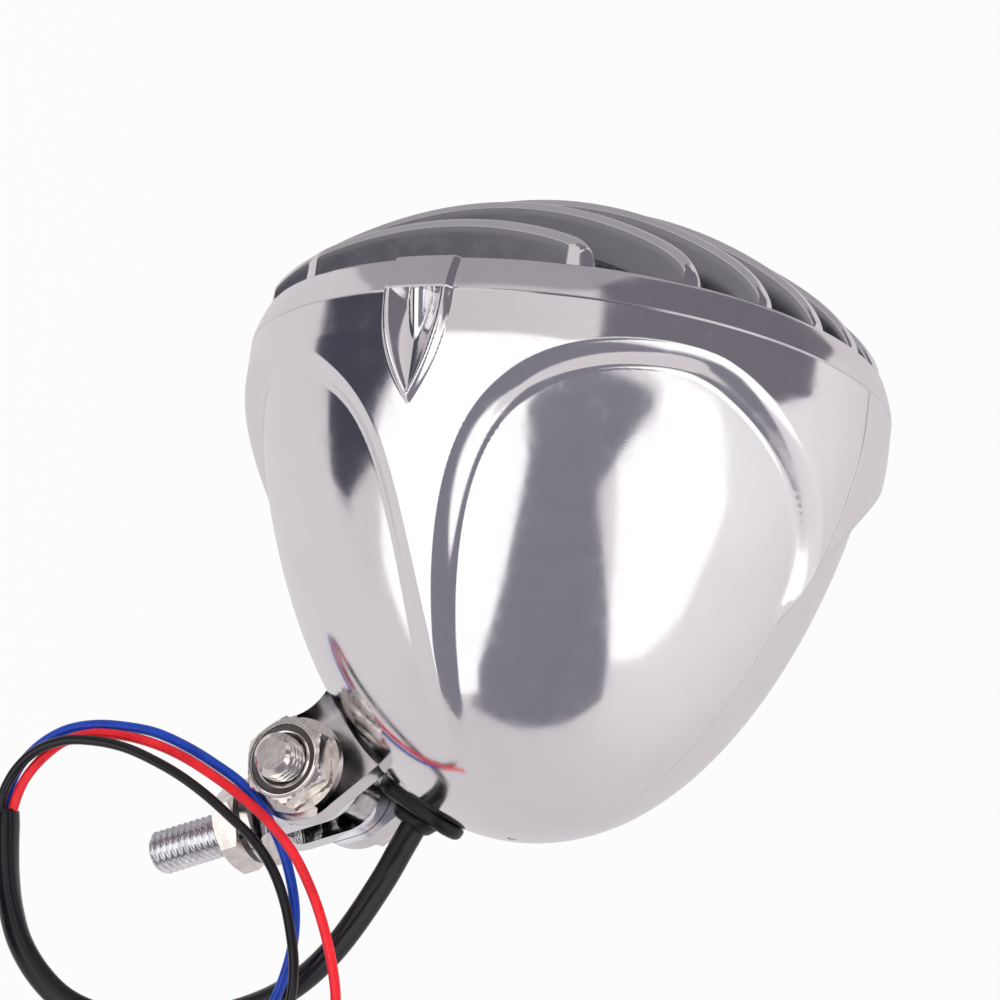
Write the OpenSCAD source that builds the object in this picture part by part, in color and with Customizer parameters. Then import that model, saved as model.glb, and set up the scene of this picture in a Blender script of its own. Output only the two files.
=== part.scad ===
// Round bullet headlight with a finned dome grille, carried on a clamped swivel under its tail.
// Millimetres. +X is the way the lamp shines, +Y its left side and +Z up.
// The origin is on the axis of the mounting stud, where its free thread starts just under the nut.

/* [Shell] */
// Outer radius of the shell at its front edge
shell_r = 69.2; // [60:0.1:80]
// Length of the shell from its front edge to the tip of the tail
shell_len = 97.7; // [90:0.1:120]
// Length of the straight band behind the front edge, before the bullet form starts
shell_band = 8; // [4:0.5:12]
// Depth of the four scallops where they are deepest
scallop_depth = 3.6; // [2:0.1:4.5]
// Thickness of the cast wall
shell_wall = 3.1; // [2.5:0.1:4]
// Thickness of the wall round the bore that takes the bezel's spigot
front_wall = 5.4; // [5:0.1:7]
// Distance from the front edge to the arched front of the scallops
scallop_front = 7.7; // [7:0.1:12]
// Half width of a side rib where it leaves the front band
side_rib_flare = 45; // [35:1:50]
// Length of the top and bottom ribs, from the front edge to their points
top_rib_len = 48; // [35:1:60]
// Half width of the top and bottom ribs where they leave the front band
top_rib_flare = 43.5; // [35:1:50]

/* [Screw bosses] */
// Width of the teardrop boss on each side of the shell
boss_w = 15.5; // [12:0.5:18]
// Length of the boss, from the front edge to its point
boss_len = 23.5; // [18:0.5:30]
// Distance of the boss below the middle of the rib
boss_drop = 1.7; // [0:0.1:3]
// Height of the boss over the rib
boss_h = 1.9; // [1:0.1:3]
// Radius of the scooped recess in the boss, at its front end
scoop_r = 6; // [4.5:0.1:6.5]
// Radius of the thread of the bezel screws
bezel_screw_r = 1.5; // [1.2:0.1:1.75]
// Radius of the head of the bezel screws
bezel_head_r = 2.1; // [1.8:0.1:2.3]
// Height of the head of the bezel screws
bezel_head_h = 1.9; // [1.5:0.1:2.5]
// Length of the bezel screws in the bezel
bezel_bite = 5; // [4:0.1:6]
// Thickness of the web under the heads of the bezel screws
boss_web = 3; // [2.5:0.1:4]

/* [Grille bezel] */
// Depth of the ring, from the seam to the front edge of the slots
ring_depth = 7.8; // [7:0.1:12]
// How much the ring narrows over its depth
ring_taper = 2.5; // [2:0.1:6]
// Height of the dome over the seam
dome_h = 37.9; // [30:0.1:45]
// Distance between the middles of neighbouring fins
fin_pitch = 14.3; // [12:0.1:18]
// Thickness of a fin at the top of the dome
fin_t = 4.4; // [2:0.1:5]
// How much thicker a fin is at the seam plane
fin_draft = 0.4; // [0:0.1:4]
// How quickly a fin falls away toward its ends, per millimetre squared
fin_fall = 0.0058; // [0.004:0.0001:0.007]
// Depth of the fins, measured through the dome
fin_depth = 10; // [6:0.5:12]
// Turn of the fins about the lamp's axis, in degrees
fin_turn = 3; // [0:0.5:5]
// Wall of the spigot
spigot_wall = 3.5; // [3:0.1:4]
// Length of the spigot behind the seam
spigot_len = 5.9; // [5.5:0.1:6.5]

/* [Lamp unit] */
// Clearance round the glass lens in its seat
lens_play = 1; // [0.5:0.1:1.5]
// Thickness of the glass
lens_t = 3; // [2.5:0.1:3.5]
// Height of the lens dome over its rim
lens_h = 13.6; // [8:0.1:16]
// Thickness of the rubber gasket in front of the lens
gasket_t = 1.3; // [1:0.1:2]
// Thickness of the reflector's sheet
reflector_t = 1.2; // [0.8:0.1:1.6]
// Distance from the bottom of the reflector's bowl to the shell's tip
tail_room = 54.47; // [50:0.1:60]
// Thickness of the ring that holds the lamp unit in the bezel
retainer_t = 1.2; // [1:0.1:1.5]
// Radius of the thread of the ring's screws
ring_screw_r = 1; // [0.8:0.05:1.2]
// Radius of the head of the ring's screws
ring_head_r = 1.65; // [1.4:0.05:2]
// Height of the head of the ring's screws
ring_head_h = 1.3; // [1:0.1:1.6]
// Length of the ring's screws in the bezel
ring_bite = 3.8; // [3:0.1:4.5]
// Radius of the bulb's glass
bulb_r = 8.5; // [7:0.1:9]
// Distance from the bulb's tip to the glass in front of it
bulb_tip_gap = 5.94; // [4:0.1:8]
// Radius of the opening in the reflector that takes the bulb
bulb_hole_r = 19; // [17:0.1:20]
// Radius of the bulb's base where it holds the glass
base_r = 14; // [12:0.1:15]
// Radius of the bulb's base where it carries the blades
plug_r = 11.5; // [10:0.1:12]
// Depth of the connector
connector_l = 15; // [12:0.5:18]
// Width of the connector
connector_w = 23; // [20:0.5:26]
// Height of the connector
connector_h = 24; // [20:0.5:26]

/* [Swivel] */
// Distance of the pivot bolt in front of the shell's tip
pivot_fore = 10.7; // [8:0.1:14]
// Distance of the pivot bolt below the shell's form
pivot_stand = 16.1773; // [15:0.001:19]
// Angle of the mounting stud behind straight down
stud_tilt = 18; // [10:1:25]
// Radius of the pivot bolt
pivot_r = 5; // [4:0.1:5]
// Radius of the rounded ears
ear_r = 11.6; // [11:0.1:13]
// Thickness of an ear
ear_t = 5; // [4:0.1:6]
// Width of the bracket over its two legs
bracket_w = 18; // [16:0.5:20]
// Thickness of the bracket
bracket_t = 4.4; // [3.5:0.1:5]
// Depth of the bracket, which is also the width of its legs
bracket_d = 20; // [18:0.5:20]
// Distance from the pivot to the underside of the bracket
bracket_drop = 16; // [14:0.5:18]
// How far the stud stands behind the pivot
stud_back = 4; // [0:0.5:5]

/* [Fasteners] */
// Radius of the mounting stud
stud_r = 5; // [4:0.1:5]
// Outer radius of the stud's free thread, a little under its nominal size
stud_thread_r = 4.84; // [4.7:0.01:4.84]
// Length of the stud below its nut
stud_free = 18.7; // [12:0.1:30]
// Width across flats of the M10 nuts and head
hex_af = 17; // [16:0.5:17]
// Height of the nut on the stud
stud_nut_h = 5.3; // [5:0.1:8]
// Height of the nut on the pivot bolt
pivot_nut_h = 6.8; // [6:0.1:10]
// Height of the pivot bolt's head
bolt_head_h = 6.4; // [5:0.1:7]
// How far the pivot bolt stands out of its nut
bolt_out = 4; // [2:0.1:8]
// Outer radius of the flat washers
washer_r = 10.4; // [9.5:0.1:11]
// Thickness of the flat washers
washer_t = 1.8; // [1.5:0.1:2.5]
// Thickness of the split lock washer
lock_t = 2.2; // [1.8:0.1:3]

/* [Cable exit] */
// Distance of the grommet's middle in front of the shell's tip
grommet_fore = 6.2; // [5.5:0.1:8]
// Length of the grommet's flange
grommet_l = 22; // [18:0.5:24]
// Width of the grommet's flange
grommet_w = 13; // [11:0.5:14]
// Thickness of the grommet's flange
grommet_t = 3; // [2:0.1:4]
// Diameter of the black sleeve
sleeve_d = 5.8; // [5:0.1:6]
// Diameter of each wire
wire_d = 2.2; // [1.8:0.1:2.2]

/* [Hidden] */

// Facets of the round forms
$fn = 96;
// Clearance of a part that slides into another
slip = 0.3;
// Radial running clearance of the pivot bolt in the bracket
running = 0.08;
// Gap between each ear and the bracket's leg
ear_gap = 0.2;
// Overlap that lets two volumes of one casting join
bite = 0.4;

// The stud's own axis, seen from the pivot: along it, and how far the parts on it stand down
washer_top = bracket_drop;
lock_top = washer_top + washer_t;
stud_nut_top = lock_top + lock_t;
free_top = stud_nut_top + stud_nut_h;
stud_end = free_top + stud_free;
// Full-size end of the stud's shank, just clear of the nut
shank_out = 0.3;
origin_drop = free_top + shank_out;

// Outer radius of the full form, at a distance d behind the front edge
function bullet(d, r, len) =
    d <= shell_band ? r : r * sqrt(max(0, 1 - pow((d - shell_band) / (len - shell_band), 1.5)));

// The pivot and the grommet stay with the tail
pivot_back = shell_len - pivot_fore;
pivot_drop = bullet(pivot_back, shell_r, shell_len) + pivot_stand;
grommet_back = shell_len - grommet_fore;

// Where the lamp lies, seen from the origin on the stud
seam_x = pivot_back + origin_drop * sin(stud_tilt) + stud_back * cos(stud_tilt);
axis_z = pivot_drop + origin_drop * cos(stud_tilt) - stud_back * sin(stud_tilt);
pivot_x = seam_x - pivot_back;
pivot_z = axis_z - pivot_drop;

ear_in = bracket_w / 2 + ear_gap;
ear_out = ear_in + ear_t;
bore_r = shell_r - front_wall;
spigot_r = bore_r - slip;
slot_r = spigot_r;
bore_depth = spigot_len + retainer_t + ring_head_h + 0.8;
inner_r = shell_r - scallop_depth - shell_wall;
inner_len = shell_len - shell_wall;
seat_r = spigot_r - spigot_wall;
lens_r = seat_r - lens_play;
lip_r = lens_r - 2.5;
lip_back = 0.3;
lip_t = 1.8;
lens_front = -lip_back - gasket_t;
lens_back = lens_front - lens_t;
flange_back = -spigot_len;
dome_h_over = dome_h - ring_depth;
dome_edge_r = shell_r - ring_taper;
dome_r = (dome_edge_r * dome_edge_r + dome_h_over * dome_h_over) / (2 * dome_h_over);
dome_x = dome_h - dome_r;
boss_screw_y = bore_r + bezel_screw_r + 1.5;
bowl_r = lens_r - 3;
bowl_vertex = tail_room - shell_len;
focal = bowl_r * bowl_r / (4 * (flange_back - bowl_vertex));
collar_x = bowl_vertex + bulb_hole_r * bulb_hole_r / (4 * focal);
collar_back = collar_x - 6;
blade_len = 8;
base_back = collar_back - 10.5;
glass_foot = collar_back + 7.5;
bulb_len = lens_back + lens_h - bulb_tip_gap - bulb_r - glass_foot;

// Routes of the free cords, as points in the part's own frame
sleeve_route = [
    [5, 0, 45.6], [-2.2, 2, 43.4], [-9.9, 4, 41], [-19.8, 6, 36.6], [-27, 7.5, 32.4],
    [-33.2, 9, 27.1], [-37.8, 10.5, 21], [-41.6, 12, 12.4], [-43.9, 13.5, 3], [-44.8, 15, -7],
    [-44, 16, -16.4], [-41.2, 17, -24.6], [-36, 17.6, -31.6], [-29.4, 18, -37.2],
    [-22, 18, -41], [-15, 18, -43.3], [-8, 18, -44.8], [-1.1, 18, -45.9]
];
black_route = [
    [-1.1, 18.9, -47], [3.2, 19, -46.9], [8.4, 19.2, -44.3], [12.6, 19.5, -39.4],
    [14.8, 19.5, -32.6], [14.8, 19.5, -25], [13.6, 19.5, -17.6], [11.2, 19.5, -10.4],
    [8, 19.5, -3], [4, 19.5, 4.2], [-0.4, 19.5, 10.8], [-5.2, 19.5, 17.4],
    [-11, 19.5, 22.9], [-17.6, 19.5, 26.9], [-24.6, 19.5, 29.7], [-31.6, 19.5, 31.6],
    [-38.6, 19.5, 32], [-45.6, 19.4, 30.6], [-51.8, 19, 27], [-56.4, 18.5, 21.4]
];
red_route = [
    [-1, 18.2, -44.4], [2.8, 18, -43.9], [7, 17.5, -42.6], [11.6, 16.9, -39.4],
    [15.2, 16.8, -34.6], [17, 17, -27.8], [16.7, 17.3, -20], [15.1, 18, -11.8],
    [12.3, 18.8, -3.4], [8.3, 19.8, 5.2], [3.7, 20.6, 13.6], [-1.6, 20.8, 21.4],
    [-8, 20.6, 28.2], [-15.4, 20.1, 33.4], [-22.6, 19.5, 37.1], [-30, 18.8, 39.9],
    [-37.6, 18.2, 41.8], [-45, 18, 42], [-52, 17.8, 39.6], [-57.6, 17.6, 35]
];
blue_route = [
    [-1.1, 16.6, -46.2], [3.4, 16.3, -47.3], [9, 16, -46.1], [14.2, 16, -41.8],
    [17.8, 16, -35.6], [19.2, 16, -28.2], [19, 16, -20.4], [17.8, 16.1, -12.4],
    [14.9, 16.5, -4], [11, 17.2, 4.4], [6.7, 17.9, 12.1], [1.4, 18, 17.9],
    [-5.2, 17.2, 22.7], [-12, 16.6, 25.9], [-19, 16.2, 28], [-26, 16, 28.6],
    [-32.6, 16, 27.8], [-39.2, 15.9, 25.8], [-46, 15.6, 22.2], [-51.6, 15.2, 16.8]
];

// The loom inside the shell, from the connector's back to the grommet
loom_start = [base_back - connector_l - 1.6, -5];
loom_end = [7.86 - grommet_back, 2.29 - bullet(grommet_back, shell_r, shell_len)];
loom_shares = [
    [0, 0], [0.19, 0], [0.397, 0.162], [0.483, 0.432], [0.517, 0.676], [0.724, 0.865], [1, 1]
];
loom_route = [for (s = loom_shares)
    [loom_start[0] + s[0] * (loom_end[0] - loom_start[0]), 0,
     loom_start[1] + s[1] * (loom_end[1] - loom_start[1])]];

// Depth of the scallops, which run out toward the tail
function scallop(d) =
    let (start = shell_band + 4, run = shell_len - start - 7.7)
    0.15 + scallop_depth * cos(90 * min(1, max(0, (d - start) / run)));

// Half width of a side rib: a long spear that narrows quickly and then slowly
function side_rib(d) =
    let (lead = 3, pinch = 5.9)
    (side_rib_flare + pinch) * (scallop_front + lead) / (d + lead) - pinch;

// Half width of the top and bottom ribs, which come to a point
function top_rib(d) =
    top_rib_flare * pow((top_rib_len - d) / (top_rib_len - scallop_front), 2);

// Half width of a boss, an ogive
function boss_half(d) = boss_w / 2 * (1 - pow(d / boss_len, 1.8));

// Stations along the shell, closer together toward the tail
function stations(len, n) = [for (i = [0:n]) len * sin(90 * i / n)];

function unit(v) = v / norm(v);

// Turns a profile of [radius, x] points into a solid about the lamp's axis
module revolve(points) {
    rotate([0, 90, 0]) rotate_extrude($fn = 144) polygon(points);
}

module in_lamp() {
    translate([seam_x, 0, axis_z]) children();
}

// The frame of the swivel: origin on the pivot, +Z away from the stud's end
module in_swivel() {
    translate([pivot_x, 0, pivot_z]) rotate([0, stud_tilt, 0]) children();
}

// The frame of the grommet: origin on the shell, +Z straight out of it
module in_grommet() {
    step = 0.1;
    fall = (bullet(grommet_back - step, shell_r, shell_len)
            - bullet(grommet_back + step, shell_r, shell_len)) / (2 * step);
    translate([seam_x - grommet_back, 0, axis_z - bullet(grommet_back, shell_r, shell_len)])
        rotate([0, atan2(-fall, -1), 0]) children();
}

// A flat shape with round ends
module oval(l, w) {
    square([l - w, w], center = true);
    for (side = [-1, 1]) translate([side * (l - w) / 2, 0]) circle(d = w);
}

// A cylinder along Y from y0 to y1
module rod_y(r, y0, y1, fn = 64) {
    translate([0, y0, 0]) rotate([-90, 0, 0]) cylinder(r = r, h = y1 - y0, $fn = fn);
}

// A cylinder along X from x0 to x1
module rod_x(r, x0, x1) {
    translate([x0, 0, 0]) rotate([0, 90, 0]) cylinder(r = r, h = x1 - x0, $fn = 48);
}

// A hexagon with both ends chamfered, standing on z = 0
module hexagon(af, h) {
    corner_r = af / sqrt(3);
    intersection() {
        cylinder(r = corner_r, h = h, $fn = 6);
        cylinder(r1 = af / 2 - 0.1, r2 = af / 2 - 0.1 + h * 1.7, h = h, $fn = 64);
        cylinder(r2 = af / 2 - 0.1, r1 = af / 2 - 0.1 + h * 1.7, h = h, $fn = 64);
    }
}

module washer(outer, inner, t) {
    difference() {
        cylinder(r = outer, h = t);
        translate([0, 0, -1]) cylinder(r = inner, h = t + 2);
    }
}

// A round tube along a route
module cord(route, d, sides) {
    n = len(route);
    ahead = [for (i = [0:n - 1])
        unit(i == 0 ? route[1] - route[0]
             : i == n - 1 ? route[i] - route[i - 1]
             : route[i + 1] - route[i - 1])];
    points = [for (i = [0:n - 1])
        let (side = unit(cross([0, 1, 0], ahead[i])), lift = cross(ahead[i], side))
        for (k = [0:sides - 1])
            let (a = 360 * (k + 0.5) / sides)
            route[i] + d / 2 * (cos(a) * side + sin(a) * lift)];
    first = [for (k = [0:sides - 1]) k];
    last = [for (k = [sides - 1:-1:0]) (n - 1) * sides + k];
    walls = [for (i = [0:n - 2], k = [0:sides - 1])
        let (next = (k + 1) % sides)
        [i * sides + k, (i + 1) * sides + k, (i + 1) * sides + next, i * sides + next]];
    polyhedron(points, concat([first, last], walls), convexity = 6);
}

// The bullet form of a given radius and length, from the front edge to the tail
module bullet_form(r, len, raise = 0) {
    profile = [for (d = stations(len, 26)) [bullet(d, r, len) + raise * (1 - d / len), -d]];
    revolve(concat([[0, 0]], profile));
}

module scalloped_form() {
    profile = [for (d = stations(shell_len - 0.2, 26))
        [max(0, bullet(d, shell_r, shell_len) - scallop(d)), -d]];
    tail = profile[len(profile) - 1];
    revolve(concat([[0, 0]], profile, [[0, tail[1]]]));
}

// Outline of a rib seen square on, mirrored about its middle line
module rib_outline(half, end) {
    steps = 22;
    edge = [for (i = [0:steps])
        let (d = scallop_front + (end - scallop_front) * pow(i / steps, 1.8)) [-d, half(d)]];
    mirrored = [for (i = [steps:-1:0]) [edge[i][0], -edge[i][1]]];
    polygon(concat(edge, mirrored));
}

// Everything of the full form that is not scalloped away
module rib_masks() {
    reach = shell_r + 5;
    side_end = shell_len - 5;
    rotate([90, 0, 0]) linear_extrude(2 * reach, center = true)
        rib_outline(function(d) max(0.8, side_rib(d)), side_end);
    linear_extrude(2 * reach, center = true)
        rib_outline(function(d) top_rib(d), top_rib_len);
    rod_x(reach, -scallop_front - 0.01, 1);
}

module boss_masks() {
    steps = 16;
    edge = [for (i = [0:steps]) let (d = boss_len * i / steps) [-d, boss_half(d)]];
    mirrored = [for (i = [steps - 1:-1:0]) [edge[i][0], -edge[i][1]]];
    translate([0, 0, -boss_drop]) rotate([90, 0, 0])
        linear_extrude(2 * shell_r + 20, center = true) polygon(concat(edge, mirrored));
}

// The scoop in each boss, and the screw's way through the front wall
module boss_cuts() {
    top = shell_r + boss_h;
    for (side = [-1, 1]) scale([1, side, 1]) translate([0, 0, -boss_drop]) {
        translate([1, top + 1.6, 0]) rotate([0, -90, 4])
            cylinder(r1 = scoop_r, r2 = 0.4, h = boss_len, $fn = 64);
        translate([0, boss_screw_y, 0]) rod_x(bezel_head_r + 0.2, -boss_len * 0.6, -boss_web);
        translate([0, boss_screw_y, 0]) rod_x(bezel_screw_r + 0.1, -boss_web - 1, 1);
    }
}

// Profile of an ear: round at the pivot, running up into the shell
module ear_outline() {
    back_tangent = 132;
    front_tangent = -12;
    translate([-pivot_back, -pivot_drop]) {
        circle(r = ear_r);
        polygon([
            [ear_r * cos(back_tangent), ear_r * sin(back_tangent)],
            [3, pivot_stand + 4.8],
            [ear_r + 9.4, pivot_stand - 2.2],
            [ear_r + 9.4, 3.5],
            [ear_r + 3.9, 0.4],
            [ear_r * cos(front_tangent), ear_r * sin(front_tangent)]
        ]);
    }
}

module ears() {
    for (side = [-1, 1])
        translate([0, side * (ear_in + ear_t / 2), 0]) rotate([90, 0, 0])
            linear_extrude(ear_t, center = true) ear_outline();
}

module shell_casting() {
    difference() {
        union() {
            scalloped_form();
            intersection() {
                bullet_form(shell_r, shell_len);
                rib_masks();
            }
            intersection() {
                bullet_form(shell_r, shell_len, boss_h);
                boss_masks();
            }
            ears();
        }
        bullet_form(inner_r, inner_len);
        translate([0, 0, 0]) rod_x(bore_r, -bore_depth, 1);
        boss_cuts();
        translate([-pivot_back, 0, -pivot_drop])
            rod_y(pivot_r + 0.1, -ear_out - 1, ear_out + 1);
    }
}

module shell() {
    seat = 0.8;
    color("#c9c9cd") difference() {
        in_lamp() shell_casting();
        in_grommet() {
            translate([0, 0, -seat]) linear_extrude(12) oval(grommet_l + 0.6, grommet_w + 0.6);
            translate([0, 0, -14]) linear_extrude(30) oval(grommet_l - 5, grommet_w - 4);
            translate([0, 0, -seat - 2.4 - 8]) linear_extrude(8) oval(grommet_l - 2, grommet_w - 1);
        }
    }
}

function ring_radius(x) = shell_r - ring_taper * pow(x / ring_depth, 1.5);

// The dome's outer surface, as a profile from one radius to another
function dome_points(r0, r1, r_dome, n) =
    [for (i = [0:n]) let (r = r0 + (r1 - r0) * i / n) [r, dome_x + sqrt(r_dome * r_dome - r * r)]];

module bezel_ring() {
    steps = 6;
    band = [for (i = [0:steps]) let (x = ring_depth * i / steps) [ring_radius(x), x]];
    revolve(concat(band, dome_points(dome_edge_r - 0.4, slot_r, dome_r, 2), [
        [slot_r, lip_t - lip_back],
        [lip_r, lip_t - lip_back],
        [lip_r, -lip_back],
        [seat_r, -lip_back],
        [seat_r, flange_back],
        [spigot_r, flange_back],
        [spigot_r, 0]
    ]));
}

// Raised pads that carry the two bosses on across the ring
module bezel_pads() {
    steps = 5;
    band = [for (i = [0:steps])
        let (x = (ring_depth - 0.4) * i / steps) [ring_radius(x) + boss_h * (1 - x / 40), x]];
    intersection() {
        revolve(concat(band, [[slot_r + 0.5, ring_depth - 0.4], [slot_r + 0.5, 0]]));
        translate([ring_depth / 2, 0, -boss_drop])
            cube([2 * ring_depth, 2 * shell_r + 20, boss_w], center = true);
    }
}

// One fin: a wall that thins toward the top of the dome
module fin_wall() {
    foot = (fin_t + fin_draft) / 2;
    tip = fin_t / 2;
    linear_extrude(2 * dome_edge_r + 2, center = true)
        polygon([[-2, -foot], [dome_h + 2, -tip], [dome_h + 2, tip], [-2, foot]]);
}

// Side view of the fin at y = b: a shallow arc with a rounded shoulder at each end
module fin_outline(b, slope) {
    top = dome_x + sqrt(dome_r * dome_r - b * b);
    reach = sqrt(dome_edge_r * dome_edge_r - b * b);
    steps = 30;
    marks = [for (i = [-steps:steps]) sin(90 * i / steps)];
    front = [for (t = marks)
        let (arc = top - fin_fall * pow(t * reach, 2))
        [(ring_depth - 1 + (arc - ring_depth + 1) * sqrt(1 - pow(abs(t), 24)) - top) * cos(slope),
         t * reach]];
    back = [for (k = [len(marks) - 1:-1:0])
        let (arc = top - fin_fall * pow(marks[k] * reach, 2))
        [(max(2.2, arc - fin_depth) - top) * cos(slope), marks[k] * reach]];
    polygon(concat(front, back));
}

// The fins follow the slope of the dome across their thickness
module fins() {
    half = floor(slot_r / fin_pitch);
    rotate([-fin_turn, 0, 0]) intersection() {
        rod_x(dome_edge_r - 0.05, -1, dome_h + 5);
        union() {
            for (k = [-half:half]) {
                b = k * fin_pitch;
                slope = asin(b / dome_r);
                intersection() {
                    translate([0, b, 0]) fin_wall();
                    translate([dome_x + sqrt(dome_r * dome_r - b * b), b, 0]) rotate([0, 0, slope])
                        rotate([90, 0, 0]) linear_extrude(20, center = true) fin_outline(b, slope);
                }
            }
        }
    }
}

module grille_bezel() {
    color("#c4c4c9") in_lamp() difference() {
        union() {
            bezel_ring();
            bezel_pads();
            fins();
        }
        for (side = [-1, 1])
            translate([0, side * boss_screw_y, -boss_drop]) rod_x(bezel_screw_r, -1, bezel_bite + 0.2);
        for (a = [90, 210, 330])
            rotate([a, 0, 0]) translate([0, 0, seat_r + spigot_wall / 2])
                rod_x(ring_screw_r, flange_back - 1, flange_back + ring_bite + 0.2);
    }
}

module bezel_screws() {
    color("silver") in_lamp() for (side = [-1, 1]) translate([0, side * boss_screw_y, -boss_drop]) {
        difference() {
            rod_x(bezel_head_r, -boss_web - bezel_head_h, -boss_web);
            translate([-boss_web - bezel_head_h - 0.1, 0, 0])
                cube([bezel_head_h - 0.1, 0.7, 2 * bezel_head_r], center = true);
        }
        rod_x(bezel_screw_r, -boss_web, bezel_bite);
    }
}

module lens() {
    dome_foot = lens_r - 5;
    r_out = (dome_foot * dome_foot + lens_h * lens_h) / (2 * lens_h);
    steps = 14;
    front = [for (i = [0:steps])
        let (r = dome_foot * i / steps) [r, lens_front + lens_h - r_out + sqrt(r_out * r_out - r * r)]];
    back = [for (i = [steps:-1:0])
        let (r = (dome_foot - 1.5) * i / steps)
        [r, lens_back + lens_h - r_out + sqrt(r_out * r_out - r * r)]];
    color("#dfe8ec") in_lamp() revolve(concat(front,
        [[lens_r, lens_front], [lens_r, lens_back], [dome_foot - 1.5, lens_back]], back));
}

module lens_gasket() {
    color("#222222") in_lamp() revolve([
        [lip_r + 0.3, lens_front], [lens_r, lens_front], [lens_r, -lip_back], [lip_r + 0.3, -lip_back]
    ]);
}

module reflector() {
    steps = 12;
    bowl = [for (i = [0:steps])
        let (r = bulb_hole_r + (bowl_r - bulb_hole_r) * i / steps) [r, bowl_vertex + r * r / (4 * focal)]];
    outside = [for (i = [steps:-1:0]) [bowl[i][0] + reflector_t, bowl[i][1] - 0.3]];
    color("#e6e6ea") in_lamp() revolve(concat(
        [[bulb_hole_r, collar_back]], bowl,
        [[bowl_r, lens_back], [lens_r, lens_back], [lens_r, flange_back]],
        [[bowl_r + reflector_t, flange_back]], outside,
        [[bulb_hole_r + reflector_t + 1.8, collar_x - 0.3], [bulb_hole_r + reflector_t + 1.8, collar_back]]));
}

module retaining_ring() {
    color("#b8b8bc") in_lamp() difference() {
        revolve([
            [bowl_r + reflector_t + 0.4, flange_back - retainer_t], [spigot_r, flange_back - retainer_t],
            [spigot_r, flange_back], [bowl_r + reflector_t + 0.4, flange_back]
        ]);
        for (a = [90, 210, 330])
            rotate([a, 0, 0]) translate([0, 0, seat_r + spigot_wall / 2])
                rod_x(ring_screw_r + 0.1, flange_back - retainer_t - 1, flange_back + 1);
    }
}

module ring_screws() {
    head = flange_back - retainer_t;
    color("silver") in_lamp() for (a = [90, 210, 330])
        rotate([a, 0, 0]) translate([0, 0, seat_r + spigot_wall / 2]) {
            rod_x(ring_head_r, head - ring_head_h, head);
            rod_x(ring_screw_r, head, flange_back + ring_bite);
        }
}

module bulb_glass() {
    color("#eef2f4") in_lamp() {
        rod_x(bulb_r, glass_foot, glass_foot + bulb_len);
        translate([glass_foot + bulb_len, 0, 0]) rotate([0, 90, 0]) intersection() {
            sphere(r = bulb_r, $fn = 64);
            cylinder(r = bulb_r + 1, h = bulb_r + 1);
        }
    }
}

module bulb_base() {
    color("#cfcfd2") in_lamp() {
        rod_x(base_r, collar_back - 1, glass_foot);
        rod_x(bulb_hole_r + 1.6, collar_back - 1.5, collar_back);
        rod_x(plug_r, base_back, collar_back - 1);
        blades();
    }
}

// The three contact blades: one across the top and one on each side
module blades(grow = 0) {
    depth = blade_len + bite + grow;
    out = plug_r - 3.9;
    translate([base_back - depth / 2 + bite, 0, 0]) {
        translate([0, 0, out]) cube([depth, 8 + 2 * grow, 0.8 + 2 * grow], center = true);
        for (side = [-1, 1])
            translate([0, side * out, -1]) cube([depth, 0.8 + 2 * grow, 8 + 2 * grow], center = true);
    }
}

module bulb_clip() {
    wire_r = 0.7;
    ring_r = bulb_hole_r - 1.6;
    color("silver") in_lamp() translate([collar_back - 1.5 - wire_r - 0.02, 0, 0]) {
        rotate([0, 90, 0]) rotate_extrude($fn = 72) translate([ring_r, 0]) circle(r = wire_r, $fn = 24);
        for (side = [-1, 1]) translate([0, side * ring_r, 0]) rod_y(wire_r, -0.5, 4, 24);
    }
}

module bulb_boot() {
    skirt = bulb_hole_r + reflector_t + 1.9;
    color("#1c1c1e") in_lamp() {
        revolve([
            [skirt, collar_back + 4.5], [skirt + 2, collar_back + 4.5],
            [skirt + 2, collar_back - 4], [plug_r + 2.3, base_back - 1.4], [plug_r + 0.1, base_back - 1.4],
            [plug_r + 0.1, base_back + 1], [skirt, collar_back - 3.4]
        ]);
    }
}

module bulb_connector() {
    size = [connector_l, connector_w, connector_h];
    color("#2a2a2c") in_lamp() difference() {
        translate([base_back - size[0] / 2 - 0.2 - 1.4, 0, 0.4]) union() {
            cube([size[0], size[1] - 6, size[2]], center = true);
            cube([size[0], size[1], size[2] - 6], center = true);
            for (y = [-1, 1], z = [-1, 1])
                translate([0, y * (size[1] / 2 - 3), z * (size[2] / 2 - 3)])
                    rod_x(3, -size[0] / 2, size[0] / 2);
        }
        blades(0.2);
    }
}

module inner_loom() {
    color("#18181a") in_lamp() cord(loom_route, 4.6, 8);
}

module wire_grommet() {
    seat = 0.8;
    wall = 2.4;
    color("#161618") in_grommet() {
        translate([0, 0, -seat]) linear_extrude(grommet_t) oval(grommet_l, grommet_w);
        translate([0, 0, -seat - wall]) linear_extrude(wall) oval(grommet_l - 5.1, grommet_w - 4.1);
        translate([0, 0, -seat - wall - 1.8]) linear_extrude(1.8) oval(grommet_l - 2.6, grommet_w - 1.6);
    }
}

module at_pivot() {
    translate([pivot_x, 0, pivot_z]) children();
}

module pivot_bolt() {
    head = ear_out + washer_t;
    end = head + pivot_nut_h + bolt_out;
    color("#d6cfc8") at_pivot() {
        translate([0, -head, 0]) rotate([90, 12, 0]) hexagon(hex_af, bolt_head_h);
        difference() {
            rod_y(pivot_r, -head, end);
            translate([0, end, 0]) rotate([90, 0, 0]) washer(pivot_r + 1, pivot_r - 0.9, 0.01);
        }
    }
}

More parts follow.
